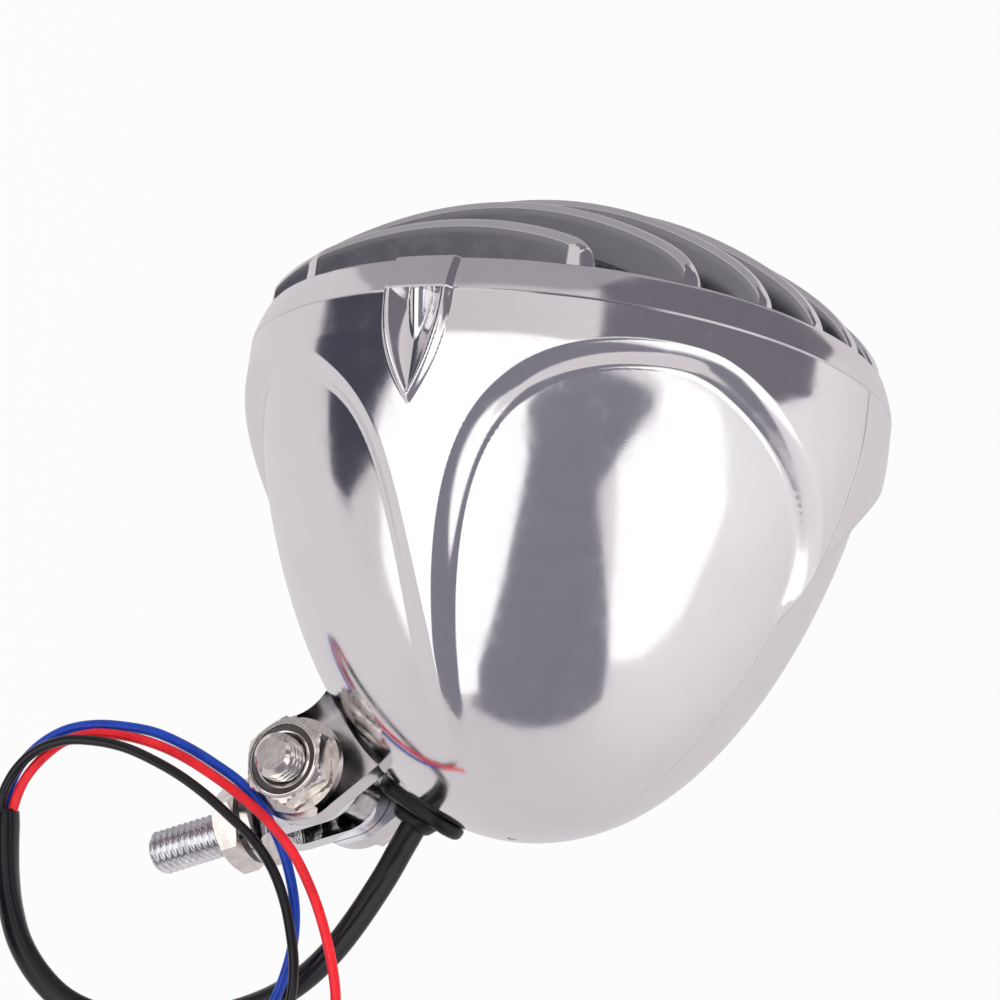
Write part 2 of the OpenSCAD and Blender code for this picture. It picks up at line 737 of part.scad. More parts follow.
module pivot_nut() {
    color("#dcd2c8") at_pivot() translate([0, ear_out + washer_t, 0]) rotate([-90, 5, 0])
        difference() {
            hexagon(hex_af, pivot_nut_h);
            translate([0, 0, -1]) cylinder(r = pivot_r, h = pivot_nut_h + 2);
        }
}

module pivot_washers() {
    color("#c9c1b8") at_pivot() for (side = [-1, 1])
        scale([1, side, 1]) translate([0, ear_out, 0]) rotate([-90, 0, 0])
            washer(washer_r, pivot_r + 0.25, washer_t);
}

// The bracket's outline across its legs: a thick strap bent to a U
module bracket_outline() {
    half = bracket_w / 2;
    bend = 5.5;
    inner_bend = 1.4;
    difference() {
        union() {
            translate([-half, -bracket_drop + bend]) square([bracket_w, bracket_drop + bracket_d]);
            translate([-half + bend, -bracket_drop]) square([bracket_w - 2 * bend, bend + 1]);
            for (side = [-1, 1])
                translate([side * (half - bend), -bracket_drop + bend]) circle(r = bend);
        }
        translate([-half + bracket_t, -bracket_drop + bracket_t + inner_bend])
            square([bracket_w - 2 * bracket_t, bracket_drop + bracket_d]);
        translate([-half + bracket_t + inner_bend, -bracket_drop + bracket_t])
            square([bracket_w - 2 * (bracket_t + inner_bend), bracket_drop]);
        for (side = [-1, 1])
            translate([side * (half - bracket_t - inner_bend), -bracket_drop + bracket_t + inner_bend])
                circle(r = inner_bend);
    }
}

module mount_bracket() {
    color("#e2e4e8") in_swivel() difference() {
        intersection() {
            rotate([90, 0, 90]) linear_extrude(bracket_d, center = true) bracket_outline();
            union() {
                rod_y(bracket_d / 2, -bracket_w, bracket_w, 96);
                translate([-bracket_d / 2, -bracket_w, -bracket_drop - 1])
                    cube([bracket_d, 2 * bracket_w, bracket_drop + 1]);
            }
        }
        rod_y(pivot_r + running, -bracket_w, bracket_w);
        translate([-stud_back, 0, -bracket_drop - 1]) cylinder(r = stud_r, h = bracket_t + 2);
    }
}

module on_stud(down) {
    in_swivel() translate([-stud_back, 0, -down]) children();
}

module mount_stud() {
    point = 1.2;
    color("#d8dade") on_stud(stud_end) {
        cylinder(r1 = stud_thread_r - point, r2 = stud_thread_r, h = point, $fn = 64);
        translate([0, 0, point])
            cylinder(r = stud_thread_r, h = stud_free - shank_out - point + bite, $fn = 64);
        translate([0, 0, stud_free - shank_out])
            cylinder(r = stud_r, h = free_top + shank_out - bracket_drop + bracket_t, $fn = 64);
    }
}

module stud_nut() {
    color("#dcd2c8") on_stud(free_top) difference() {
        rotate([0, 0, 10]) hexagon(hex_af, stud_nut_h);
        translate([0, 0, -1]) cylinder(r = stud_r, h = stud_nut_h + 2);
    }
}

module stud_lock_washer() {
    color("#4a4744") on_stud(stud_nut_top) difference() {
        washer(hex_af / 2, stud_r + 0.1, lock_t);
        translate([0, 0, lock_t / 2]) rotate([15, 0, 120]) translate([hex_af / 2, 0, 0])
            cube([hex_af, 1.2, 3 * lock_t], center = true);
    }
}

module stud_washer() {
    color("#c9c1b8") on_stud(lock_top) washer(washer_r - 0.4, stud_r + 0.25, washer_t);
}

module cable_sleeve() {
    color("#141416") cord(sleeve_route, sleeve_d, 10);
}

module wire_black() {
    color("#141416") cord(black_route, wire_d, 8);
}

module wire_red() {
    color("#d42438") cord(red_route, wire_d, 8);
}

module wire_blue() {
    color("#1648b0") cord(blue_route, wire_d, 8);
}

shell();
grille_bezel();
bezel_screws();
lens();
lens_gasket();
reflector();
retaining_ring();
ring_screws();
bulb_glass();
bulb_base();
bulb_clip();
bulb_boot();
bulb_connector();
inner_loom();
wire_grommet();
pivot_bolt();
pivot_nut();
pivot_washers();
mount_bracket();
mount_stud();
stud_nut();
stud_lock_washer();
stud_washer();
cable_sleeve();
wire_black();
wire_red();
wire_blue();
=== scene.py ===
"""Looks for the round motorcycle headlight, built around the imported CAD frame. Metres, row frame."""
import math

import bmesh
import bpy
import numpy as np
from mathutils import Matrix, Vector

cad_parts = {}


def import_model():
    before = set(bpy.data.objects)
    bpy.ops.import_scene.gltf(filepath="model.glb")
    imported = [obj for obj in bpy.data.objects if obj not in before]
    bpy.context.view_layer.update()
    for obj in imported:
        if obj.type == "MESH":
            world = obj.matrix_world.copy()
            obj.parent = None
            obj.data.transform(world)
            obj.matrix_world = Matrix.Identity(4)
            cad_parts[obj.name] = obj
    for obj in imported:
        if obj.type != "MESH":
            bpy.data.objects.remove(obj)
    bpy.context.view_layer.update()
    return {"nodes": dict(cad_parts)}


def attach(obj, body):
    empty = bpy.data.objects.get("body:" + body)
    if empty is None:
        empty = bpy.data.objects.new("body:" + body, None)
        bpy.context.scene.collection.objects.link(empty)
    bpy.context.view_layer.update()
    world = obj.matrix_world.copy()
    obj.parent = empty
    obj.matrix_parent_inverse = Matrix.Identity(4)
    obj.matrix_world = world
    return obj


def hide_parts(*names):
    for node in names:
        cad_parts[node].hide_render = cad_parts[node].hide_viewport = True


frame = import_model()
NODES = frame["nodes"]
MM = 0.001

# ---------------------------------------------------------------- sizes, in millimetres, as in the CAD
SEAM_X, AXIS_Z = 98.7151, 68.1110
PIVOT = (11.7151, 23.1110)
TILT = math.radians(18)
SHELL_R, SHELL_LEN, BAND = 69.2, 97.7, 8.0
SCALLOP, WALL = 3.6, 3.1
FRONT, FLARE, PINCH, LEAD = 7.7, 45.0, 5.9, 3.0
TOP_LEN, TOP_FLARE = 48.0, 43.5
BOSS_W, BOSS_LEN, BOSS_H, BOSS_DROP = 15.5, 23.5, 1.9, 1.7
RING_DEPTH, RING_TAPER, DOME_H = 7.8, 2.5, 37.9
SLOT_R, FIN_PITCH, FIN_T, FIN_DRAFT, FIN_DEPTH, FIN_FALL = 63.5, 14.3, 4.4, 0.4, 10.0, 0.0058
FIN_TURN = math.radians(3)
SPIGOT_R, SPIGOT_WALL, SPIGOT_LEN = 63.5, 3.5, 5.9
STUD_R, THREAD_R = 5.0, 4.84


def smooth(t):
    t = np.clip(t, 0.0, 1.0)
    return t * t * (3 - 2 * t)


# ---------------------------------------------------------------- materials
def new_material(name, color, metallic=0.0, rough=0.4, coat=0.0, coat_rough=0.05):
    m = bpy.data.materials.new(name)
    m.use_nodes = True
    b = m.node_tree.nodes["Principled BSDF"]
    b.inputs["Base Color"].default_value = (*color, 1.0)
    b.inputs["Metallic"].default_value = metallic
    b.inputs["Roughness"].default_value = rough
    if coat:
        b.inputs["Coat Weight"].default_value = coat
        b.inputs["Coat Roughness"].default_value = coat_rough
    return m, m.node_tree, b


def add(tree, kind, **values):
    n = tree.nodes.new(kind)
    for k, v in values.items():
        if k in n.inputs:
            n.inputs[k].default_value = v
        else:
            setattr(n, k, v)
    return n


def coords(tree, scale=(1, 1, 1)):
    tc = add(tree, "ShaderNodeTexCoord")
    mp = add(tree, "ShaderNodeMapping")
    mp.inputs["Scale"].default_value = scale
    tree.links.new(tc.outputs["Object"], mp.inputs["Vector"])
    return mp.outputs["Vector"]


def noise(tree, vec, scale, detail=3.0, rough=0.5, distortion=0.0):
    n = add(tree, "ShaderNodeTexNoise", Scale=scale, Detail=detail, Roughness=rough, Distortion=distortion)
    tree.links.new(vec, n.inputs["Vector"])
    return n.outputs["Fac"]


def ramp(tree, fac, stops):
    r = add(tree, "ShaderNodeValToRGB")
    while len(r.color_ramp.elements) < len(stops):
        r.color_ramp.elements.new(0.5)
    for e, (p, c) in zip(r.color_ramp.elements, stops):
        e.position = p
        e.color = (*c, 1.0) if isinstance(c, (tuple, list)) else (c, c, c, 1.0)
    tree.links.new(fac, r.inputs["Fac"])
    return r.outputs["Color"]


def bump(tree, bsdf, height, strength, distance, under=None):
    b = add(tree, "ShaderNodeBump", Strength=strength, Distance=distance)
    tree.links.new(height, b.inputs["Height"])
    if under is not None:
        tree.links.new(under, b.inputs["Normal"])
    if bsdf is not None:
        tree.links.new(b.outputs["Normal"], bsdf.inputs["Normal"])
    return b.outputs["Normal"]


def polished(name, color, rough=0.10, wave=0.05, spots=0.35, scratch=0.06):
    """Hand polished cast metal: soft ripples, fine polishing lines, a few dull spots."""
    m, t, b = new_material(name, color, 1.0, rough)
    v = coords(t)
    dull = noise(t, v, 190.0, 4.0, 0.6)
    fine = noise(t, v, 2600.0, 2.0)
    t.links.new(ramp(t, dull, [(0.42, rough), (0.62, rough + 0.04), (0.78, rough + spots * 0.35)]),
                b.inputs["Roughness"])
    tint = noise(t, v, 60.0, 3.0)
    dark = tuple(c * 0.955 for c in color)
    t.links.new(ramp(t, tint, [(0.3, dark), (0.7, color)]), b.inputs["Base Color"])
    soft = noise(t, v, 75.0, 2.0, 0.4)
    lines = noise(t, coords(t, (900.0, 40.0, 40.0)), 3.0, 2.0)
    n1 = bump(t, None, soft, wave, 0.0006)
    n2 = bump(t, None, lines, scratch, 0.00004, n1)
    bump(t, b, fine, 0.05, 0.00003, n2)
    return m


def cast(name, color, rough=0.36):
    """Cast metal that was only tumbled: grainy, dull, with small pits."""
    m, t, b = new_material(name, color, 1.0, rough)
    v = coords(t)
    grain = noise(t, v, 900.0, 4.0, 0.6)
    pits = noise(t, v, 330.0, 3.0, 0.5)
    t.links.new(ramp(t, grain, [(0.3, tuple(c * 0.72 for c in color)), (0.65, color)]), b.inputs["Base Color"])
    t.links.new(ramp(t, pits, [(0.35, rough - 0.1), (0.7, rough + 0.12)]), b.inputs["Roughness"])
    n1 = bump(t, None, grain, 0.16, 0.0001)
    bump(t, b, pits, 0.18, 0.0003, n1)
    return m


def plated(name, color, rough=0.13, grain=0.12):
    """Bright plated steel: clear sheen with faint turning marks and stains."""
    m, t, b = new_material(name, color, 1.0, rough)
    v = coords(t)
    stain = noise(t, v, 420.0, 4.0, 0.6)
    t.links.new(ramp(t, stain, [(0.36, tuple(c * 0.83 for c in color)), (0.6, color)]), b.inputs["Base Color"])
    t.links.new(ramp(t, stain, [(0.3, rough + 0.14), (0.62, rough)]), b.inputs["Roughness"])
    n1 = bump(t, None, noise(t, v, 1500.0, 3.0), grain, 0.00006)
    bump(t, b, noise(t, v, 260.0, 2.0), 0.08, 0.0003, n1)
    return m


def polymer(name, color, rough=0.3, coat=0.0, grain=0.15, scale=1400.0):
    m, t, b = new_material(name, color, 0.0, rough, coat, 0.12)
    b.inputs["Specular IOR Level"].default_value = 0.28
    v = coords(t)
    n = noise(t, v, scale, 3.0)
    w = noise(t, v, scale * 0.12, 3.0)
    t.links.new(ramp(t, w, [(0.3, tuple(c * 0.8 for c in color)), (0.7, tuple(min(1, c * 1.12) for c in color))]),
                b.inputs["Base Color"])
    t.links.new(ramp(t, w, [(0.3, max(0.02, rough - 0.05)), (0.7, rough + 0.07)]), b.inputs["Roughness"])
    bump(t, b, n, grain, 0.00008)
    return m


def glass(name, tint):
    m, t, b = new_material(name, tint, 0.0, 0.02)
    b.inputs["Transmission Weight"].default_value = 1.0
    b.inputs["IOR"].default_value = 1.5
    v = coords(t)
    t.links.new(ramp(t, noise(t, v, 300.0, 3.0), [(0.4, 0.012), (0.7, 0.05)]), b.inputs["Roughness"])
    bump(t, b, noise(t, v, 90.0, 2.0), 0.02, 0.0004)
    return m


MAT = {
    "alu": polished("polished_aluminium", (0.83, 0.815, 0.83)),
    "grille": polished("grille_aluminium", (0.80, 0.785, 0.80), rough=0.12, wave=0.09),
    # the fins' side walls and backs: the grille's aluminium painted dark, as painted shade in the slots between the
    # fins
    "fin_side_shade": polished("fin_side_painted_shade", (0.33, 0.325, 0.35), rough=0.24, wave=0.03, spots=0.2),
    "lug": polished("polished_lug", (0.74, 0.725, 0.735), rough=0.2, wave=0.06, spots=0.3),
    "chrome": polished("bright_chrome", (0.86, 0.87, 0.89), rough=0.035, wave=0.02, spots=0.1, scratch=0.01),
    "nickel": plated("warm_nickel", (0.86, 0.815, 0.77), 0.12),
    "zinc": plated("bright_zinc", (0.83, 0.83, 0.85), 0.12),
    # dark steel for the lock washer, and painted shade in the pivot nut's recesses
    "dark": plated("dark_steel", (0.13, 0.12, 0.12), 0.3, 0.3),
    "sheet": plated("sheet_steel", (0.70, 0.70, 0.72), 0.3),
    "mirror": plated("reflector_mirror", (0.90, 0.90, 0.92), 0.06, 0.03),
    "glass": glass("clear_glass", (0.95, 0.97, 0.98)),
    "rubber": polymer("black_rubber", (0.006, 0.006, 0.008), 0.32, 0.0, 0.15),
    "sleeve": polymer("sleeve_black", (0.006, 0.006, 0.008), 0.18, 0.2, 0.05),
    "black": polymer("wire_black_skin", (0.007, 0.007, 0.009), 0.22, 0.2, 0.05),
    "red": polymer("wire_red_skin", (0.74, 0.010, 0.020), 0.28, 0.15, 0.05),
    "blue": polymer("wire_blue_skin", (0.005, 0.050, 0.43), 0.28, 0.15, 0.05),
    "copper": plated("bare_copper", (0.82, 0.42, 0.24), 0.3),
}


# ---------------------------------------------------------------- mesh helpers
def mesh_object(name, verts, faces, mats, face_mats=None, smooth_shade=True, scale=MM):
    me = bpy.data.meshes.new(name)
    me.from_pydata([tuple(float(c) * scale for c in v) for v in verts], [], [tuple(int(i) for i in f) for f in faces])
    me.validate(clean_customdata=False)
    for m in mats:
        me.materials.append(m)
    if face_mats is not None and len(me.polygons) == len(face_mats):
        me.polygons.foreach_set("material_index", np.array(face_mats, np.int32))
    me.polygons.foreach_set("use_smooth", np.full(len(me.polygons), smooth_shade))
    me.update()
    o = bpy.data.objects.new(name, me)
    bpy.context.scene.collection.objects.link(o)
    return o


def recalc(o):
    bm = bmesh.new()
    bm.from_mesh(o.data)
    bmesh.ops.recalc_face_normals(bm, faces=bm.faces)
    bm.to_mesh(o.data)
    bm.free()
    return o


def sharpen(o, angle):
    bpy.context.view_layer.objects.active = o
    for s in bpy.context.selected_objects:
        s.select_set(False)
    o.select_set(True)
    bpy.ops.object.shade_smooth_by_angle(angle=math.radians(angle), keep_sharp_edges=True)
    for mod in list(o.modifiers):
        bpy.ops.object.modifier_apply(modifier=mod.name)
    o.select_set(False)


def bevel(o, width, segments=3, angle=30):
    mod = o.modifiers.new("bevel", "BEVEL")
    mod.width = width * MM
    mod.segments = segments
    mod.limit_method = "ANGLE"
    mod.angle_limit = math.radians(angle)
    mod.harden_normals = True
    bpy.context.view_layer.objects.active = o
    bpy.ops.object.modifier_apply(modifier=mod.name)


def grid_faces(rows, cols, base=0, close_cols=True, flip=False):
    out = []
    for i in range(rows - 1):
        for j in range(cols if close_cols else cols - 1):
            a = base + i * cols + j
            b = base + i * cols + (j + 1) % cols
            c = base + (i + 1) * cols + (j + 1) % cols
            d = base + (i + 1) * cols + j
            out.append((a, d, c, b) if flip else (a, b, c, d))
    return out


def place(o, body, slot_name, *replaced):
    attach(o, body)
    if replaced:
        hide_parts(*replaced)
    return o


def in_lamp(p):
    return (p[0] + SEAM_X, p[1], p[2] + AXIS_Z)


# ---------------------------------------------------------------- camera
def photo_camera():
    az, el, roll = (math.radians(a) for a in (106.458, 26.901, 7.648))
    dist, px, py = 896.2, 570.05, 394.063
    focal_px = 150 / 36 * 1000
    look = Vector((math.cos(el) * math.cos(az), math.cos(el) * math.sin(az), math.sin(el)))
    up = Vector((1, 0, 0))
    up = (up - up.dot(look) * look).normalized()
    right = up.cross(look)
    right, up = math.cos(roll) * right + math.sin(roll) * up, math.cos(roll) * up - math.sin(roll) * right
    eye = dist * look - (px - 500) / focal_px * dist * right - (500 - py) / focal_px * dist * up
    eye += Vector((SEAM_X, 0, AXIS_Z))
    cam = bpy.data.cameras.new("camera")
    cam.lens, cam.sensor_width = 150, 36
    cam.clip_start, cam.clip_end = 0.02, 30
    o = bpy.data.objects.new("camera", cam)
    bpy.context.scene.collection.objects.link(o)
    o.matrix_world = Matrix(((right.x, up.x, look.x, eye.x * MM), (right.y, up.y, look.y, eye.y * MM),
                             (right.z, up.z, look.z, eye.z * MM), (0, 0, 0, 1)))
    bpy.context.scene.camera = o


photo_camera()

# ---------------------------------------------------------------- cords
SLEEVE = [
    [5, 0, 45.6], [-2.2, 2, 43.4], [-9.9, 4, 41], [-19.8, 6, 36.6], [-27, 7.5, 32.4],
    [-33.2, 9, 27.1], [-37.8, 10.5, 21], [-41.6, 12, 12.4], [-43.9, 13.5, 3], [-44.8, 15, -7],
    [-44, 16, -16.4], [-41.2, 17, -24.6], [-36, 17.6, -31.6], [-29.4, 18, -37.2],
    [-22, 18, -41], [-15, 18, -43.3], [-8, 18, -44.8], [-1.1, 18, -45.9],
]
BLACK = [
    [-1.1, 18.9, -47], [3.2, 19, -46.9], [8.4, 19.2, -44.3], [12.6, 19.5, -39.4],
    [14.8, 19.5, -32.6], [14.8, 19.5, -25], [13.6, 19.5, -17.6], [11.2, 19.5, -10.4],
    [8, 19.5, -3], [4, 19.5, 4.2], [-0.4, 19.5, 10.8], [-5.2, 19.5, 17.4],
    [-11, 19.5, 22.9], [-17.6, 19.5, 26.9], [-24.6, 19.5, 29.7], [-31.6, 19.5, 31.6],
    [-38.6, 19.5, 32], [-45.6, 19.4, 30.6], [-51.8, 19, 27], [-56.4, 18.5, 21.4],
]
RED = [
    [-1, 18.2, -44.4], [2.8, 18, -43.9], [7, 17.5, -42.6], [11.6, 16.9, -39.4],
    [15.2, 16.8, -34.6], [17, 17, -27.8], [16.7, 17.3, -20], [15.1, 18, -11.8],
    [12.3, 18.8, -3.4], [8.3, 19.8, 5.2], [3.7, 20.6, 13.6], [-1.6, 20.8, 21.4],
    [-8, 20.6, 28.2], [-15.4, 20.1, 33.4], [-22.6, 19.5, 37.1], [-30, 18.8, 39.9],
    [-37.6, 18.2, 41.8], [-45, 18, 42], [-52, 17.8, 39.6], [-57.6, 17.6, 35],
]
BLUE = [
    [-1.1, 16.6, -46.2], [3.4, 16.3, -47.3], [9, 16, -46.1], [14.2, 16, -41.8],
    [17.8, 16, -35.6], [19.2, 16, -28.2], [19, 16, -20.4], [17.8, 16.1, -12.4],
    [14.9, 16.5, -4], [11, 17.2, 4.4], [6.7, 17.9, 12.1], [1.4, 18, 17.9],
    [-5.2, 17.2, 22.7], [-12, 16.6, 25.9], [-19, 16.2, 28], [-26, 16, 28.6],
    [-32.6, 16, 27.8], [-39.2, 15.9, 25.8], [-46, 15.6, 22.2], [-51.6, 15.2, 16.8],
]
SLEEVE_D, WIRE_D = 5.8, 2.2


def rounded(points, per=8):
    """A smooth line through the route's points, with per steps between two of them."""
    p = np.array([[2 * a - b for a, b in zip(points[0], points[1])]] + points
                 + [[2 * a - b for a, b in zip(points[-1], points[-2])]], float)
    out = []
    for i in range(1, len(p) - 2):
        for k in range(per):
            t = k / per
            out.append(0.5 * (2 * p[i] + (p[i + 1] - p[i - 1]) * t
                              + (2 * p[i - 1] - 5 * p[i] + 4 * p[i + 1] - p[i + 2]) * t * t
                              + (3 * p[i] - p[i - 1] - 3 * p[i + 1] + p[i + 2]) * t ** 3))
    out.append(p[-2])
    return np.array(out)


def line_frames(line):
    """Unit directions and two cross directions that don't twist along a line."""
    ahead = np.gradient(line, axis=0)
    ahead /= np.linalg.norm(ahead, axis=1, keepdims=True)
    side = np.cross([0.0, 1.0, 0.0], ahead[0])
    side /= np.linalg.norm(side)
    sides = []
    for a in ahead:
        side = side - a * side.dot(a)
        side /= np.linalg.norm(side)
        sides.append(side)
    sides = np.array(sides)
    return ahead, sides, np.cross(ahead, sides)


def sweep(name, line, radius, mat, sides=20):
    """A closed tube along a line. radius is called with the share of the length and the angle."""
    _, s, u = line_frames(line)
    n = len(line)
    a = np.arange(sides) * 2 * math.pi / sides
    verts, faces = [], []
    for i in range(n):
        share = i / (n - 1)
        r = np.array([radius(share, x) for x in a])
        ring = line[i] + (r * np.cos(a))[:, None] * s[i] + (r * np.sin(a))[:, None] * u[i]
        verts += ring.tolist()
    faces += grid_faces(n, sides)
    verts += [line[0].tolist(), line[-1].tolist()]
    for j in range(sides):
        faces.append((n * sides, (j + 1) % sides, j))
        faces.append((n * sides + 1, (n - 1) * sides + j, (n - 1) * sides + (j + 1) % sides))
    return recalc(mesh_object(name, verts, faces, [mat]))


def cords():
    line = rounded(SLEEVE, 9)

    def lobes(share, a):
        end = min(1.0, (1 - share) * 40)
        twist = a + 2.6 * share
        squeeze = 1 - 0.045 * (1 - math.cos(3 * twist)) - 0.02 * math.sin(9 * share + 2 * a)
        return SLEEVE_D / 2 * squeeze * (0.93 + 0.07 * end)

    o = sweep("sleeve_skin", line, lobes, MAT["sleeve"], 30)
    place(o, "lamp", "black_plastic", "cable_sleeve")
    for name, route, mat, slot_name in (("wire_black", BLACK, "black", "black_plastic"),
                                        ("wire_red", RED, "red", "red_plastic"),
                                        ("wire_blue", BLUE, "blue", "blue_plastic")):
        line = rounded(route, 8)
        o = sweep(name + "_skin", line, lambda share, a: WIRE_D / 2, MAT[mat], 16)
        place(o, "lamp", slot_name, name)


cords()


# ---------------------------------------------------------------- the shell
def bullet(d):
    q = np.clip((d - BAND) / (SHELL_LEN - BAND), 0, 1)
    return np.where(d <= BAND, SHELL_R, SHELL_R * np.sqrt(np.maximum(0, 1 - q ** 1.5)))


def soft_min(a, b, k):
    h = np.clip(0.5 + 0.5 * (b - a) / k, 0, 1)
    return b * (1 - h) + a * h - k * h * (1 - h)


def scallop_edge(d, a):
    """Distance in mm from the edge of the nearest scallop, positive inside it. a is the angle from +Y to +Z."""
    r = np.maximum(bullet(d), 0.5)
    quarter = np.abs((a + math.pi / 4) % (math.pi / 2) - math.pi / 4)
    to_side = np.where(np.abs(np.cos(a)) >= np.abs(np.sin(a)), quarter, math.pi / 2 - quarter)
    side_half = np.maximum(0.8, (FLARE + PINCH) * (FRONT + LEAD) / (d + LEAD) - PINCH)
    top_half = np.where(d < TOP_LEN, TOP_FLARE * np.clip((TOP_LEN - d) / (TOP_LEN - FRONT), 0, 3) ** 2, 0.0)
    side = r * (to_side - np.arcsin(np.clip(side_half / r, 0, 1)))
    top = r * ((math.pi / 2 - to_side) - np.arcsin(np.clip(top_half / r, 0, 1)))
    top = np.where(d > TOP_LEN - 3, np.maximum(top, 0.55 * (d - TOP_LEN + 3) + 0.5 * np.minimum(top, 4)), top)
    slope_side = (FLARE + PINCH) * (FRONT + LEAD) / (d + LEAD) ** 2 / np.sqrt(np.clip(1 - (side_half / r) ** 2, 0.15, 1))
    slope_top = np.where(d < TOP_LEN, 2 * top_half / np.maximum(TOP_LEN - d, 1), 0) \
        / np.sqrt(np.clip(1 - (top_half / r) ** 2, 0.15, 1))
    side = side / np.sqrt(1 + slope_side ** 2)
    top = top / np.sqrt(1 + slope_top ** 2)
    f = soft_min(side, top, 3.0)
    return soft_min(f, d - FRONT + 0.6, 3.0)


EDGE_OUT, EDGE_IN = -1.7, 2.7


def soft_rise(x, k):
    """max(x, 0) with its corner rounded over k on both sides."""
    return np.where(x > k, x, np.where(x < -k, 0.0, (x + k) ** 2 / (4 * k)))


def scallop_depth(d, a):
    f = scallop_edge(d, a)
    s = (f - EDGE_OUT) / (EDGE_IN - EDGE_OUT)
    s = soft_rise(s, 0.08)
    s = 1 - soft_rise(1 - s, 0.22)
    wall = 0.62 * s + 0.38 * s ** 2.2           # a rolled edge: it steepens down to a crisp inner corner
    reach = 0.15 + SCALLOP * np.cos(np.radians(90 * np.clip((d - 12) / 78, 0, 1)))
    fade = smooth((SHELL_LEN - 1.0 - d) / 7.0)
    return wall * reach * fade


def boss_form(d, a):
    """Height over the full form of the scooped teardrop boss on each side."""
    r = bullet(d)
    side = np.where(np.cos(a) >= 0, a, math.pi - a)
    side = (side + math.pi) % (2 * math.pi) - math.pi
    u = np.abs(r * side + BOSS_DROP)
    t = np.clip(d / BOSS_LEN, 0, 1)
    half = BOSS_W / 2 * (1 - t ** 2.3)
    lean = BOSS_W / 2 * 2.3 * t ** 1.3 / BOSS_LEN
    f = np.where(d < BOSS_LEN, (half - u) / np.sqrt(1 + lean ** 2), -5.0)
    rise = BOSS_H * (1 - 0.45 * t)
    height = rise * smooth((f + 0.25) / 1.25)
    inner = half - 1.5
    w = np.where(inner > 0.05, np.clip(1 - u / np.maximum(inner, 0.05), 0, 1), 0)
    w = w * w / (w + 0.13) * 1.13
    scoop = 4.6 * np.clip(1 - d / (BOSS_LEN - 1.0), 0, 1) ** 0.85 * (1 - (1 - w) ** 1.9)
    # a pointed ridge along the middle of the scoop, over the screw's head
    floor_r = r + height - scoop
    ridge_r = np.where((d < 16) & (f > 0.6), 70.4 - 0.26 * d - 0.30 * u ** 2.2, 0.0)
    ridge_r = np.minimum(ridge_r, r + height)
    return np.where(ridge_r > floor_r - 1.2, -soft_min(-floor_r, -ridge_r, 0.5), floor_r) - r


def shell_radius(d, a):
    return bullet(d) - scallop_depth(d, a) + boss_form(d, a)


def shell_half(name, turn):
    """Half of the shell: the outside from the form's own function, with its exact normals, and a plain inside."""
    rows = np.concatenate([[0.0], np.linspace(0.3, 26, 72), 26 + (SHELL_LEN - 26) * np.sin(
        np.linspace(0, math.pi / 2, 88))[1:]])
    rows[-1] = SHELL_LEN - 0.02
    near = math.asin(10.0 / SHELL_R)
    rest = np.linspace(near, math.pi / 2, 218)
    cols = np.concatenate([-rest[:0:-1], np.linspace(-near, near, 62), rest[1:]]) + turn
    d, a = np.meshgrid(rows, cols, indexing="ij")
    r = shell_radius(d, a)
    n, m = d.shape
    e = 0.3
    lo, hi = np.clip(d - e, 0, SHELL_LEN - 0.01), np.clip(d + e, 0, SHELL_LEN - 0.01)
    r_d = (shell_radius(hi, a) - shell_radius(lo, a)) / (hi - lo)
    step = e / np.maximum(r, 3)
    r_a = (shell_radius(d, a + step) - shell_radius(d, a - step)) / (2 * step)
    c, s = np.cos(a), np.sin(a)
    along = np.stack([-np.ones_like(r), r_d * c, r_d * s], -1)
    around = np.stack([np.zeros_like(r), r_a * c - r * s, r_a * s + r * c], -1)
    normal = np.cross(along, around).reshape(-1, 3)
    normal /= np.linalg.norm(normal, axis=1, keepdims=True)
    r[0] -= 0.4                         # the broken edge at the seam
    verts = np.stack([SEAM_X - d, r * c, r * s + AXIS_Z], -1).reshape(-1, 3).tolist()
    faces = grid_faces(n, m, close_cols=False, flip=True)
    pole = len(verts)
    verts.append((SEAM_X - SHELL_LEN + 0.01, 0, AXIS_Z))
    faces += [((n - 1) * m + j, pole, (n - 1) * m + j + 1) for j in range(m - 1)]
    normal = np.vstack([normal, [[-1, 0, 0]]])
    outside = len(faces)
    base = len(verts)
    depths = (SHELL_LEN - WALL) * np.sin(np.linspace(0, math.pi / 2, 16))
    for dd in depths:
        q = min(1.0, max(0.0, (dd - BAND) / (SHELL_LEN - WALL - BAND)))
        rr = max((SHELL_R - SCALLOP - WALL) * math.sqrt(1 - q ** 1.5), 0.2) + (1.3 if dd < 9.2 else 0)
        verts += [(SEAM_X - dd, rr * math.cos(x), rr * math.sin(x) + AXIS_Z) for x in cols]
    k = len(depths)
    faces += grid_faces(k, m, base, close_cols=False)
    inner_pole = len(verts)
    verts.append((SEAM_X - SHELL_LEN + WALL, 0, AXIS_Z))
    last = base + (k - 1) * m
    faces += [(last + j, last + j + 1, inner_pole) for j in range(m - 1)]
    faces += [(j, j + 1, base + j + 1, base + j) for j in range(m - 1)]
    for j in (0, m - 1):
        loop = [i * m + j for i in range(n)] + [pole, inner_pole] + [base + i * m + j for i in reversed(range(k))]
        faces.append(tuple(loop if j == 0 else reversed(loop)))
    o = mesh_object(name, verts, faces, [MAT["alu"]])
    me = o.data
    count = len(me.loops)
    index = np.empty(count, np.int32)
    me.loops.foreach_get("vertex_index", index)
    start = np.empty(len(me.polygons), np.int32)
    total = np.empty(len(me.polygons), np.int32)
    flat = np.empty(len(me.polygons) * 3, np.float32)
    me.polygons.foreach_get("loop_start", start)
    me.polygons.foreach_get("loop_total", total)
    me.polygons.foreach_get("normal", flat)
    out = np.repeat(flat.reshape(-1, 3), total, axis=0)
    skin = int(start[outside]) if outside < len(start) else count
    out[:skin] = normal[index[:skin]]
    me.normals_split_custom_set(out.tolist())
    return place(o, "lamp", "polished_aluminium", "shell")


shell_half("shell_left", 0.0)
shell_half("shell_right", math.pi)


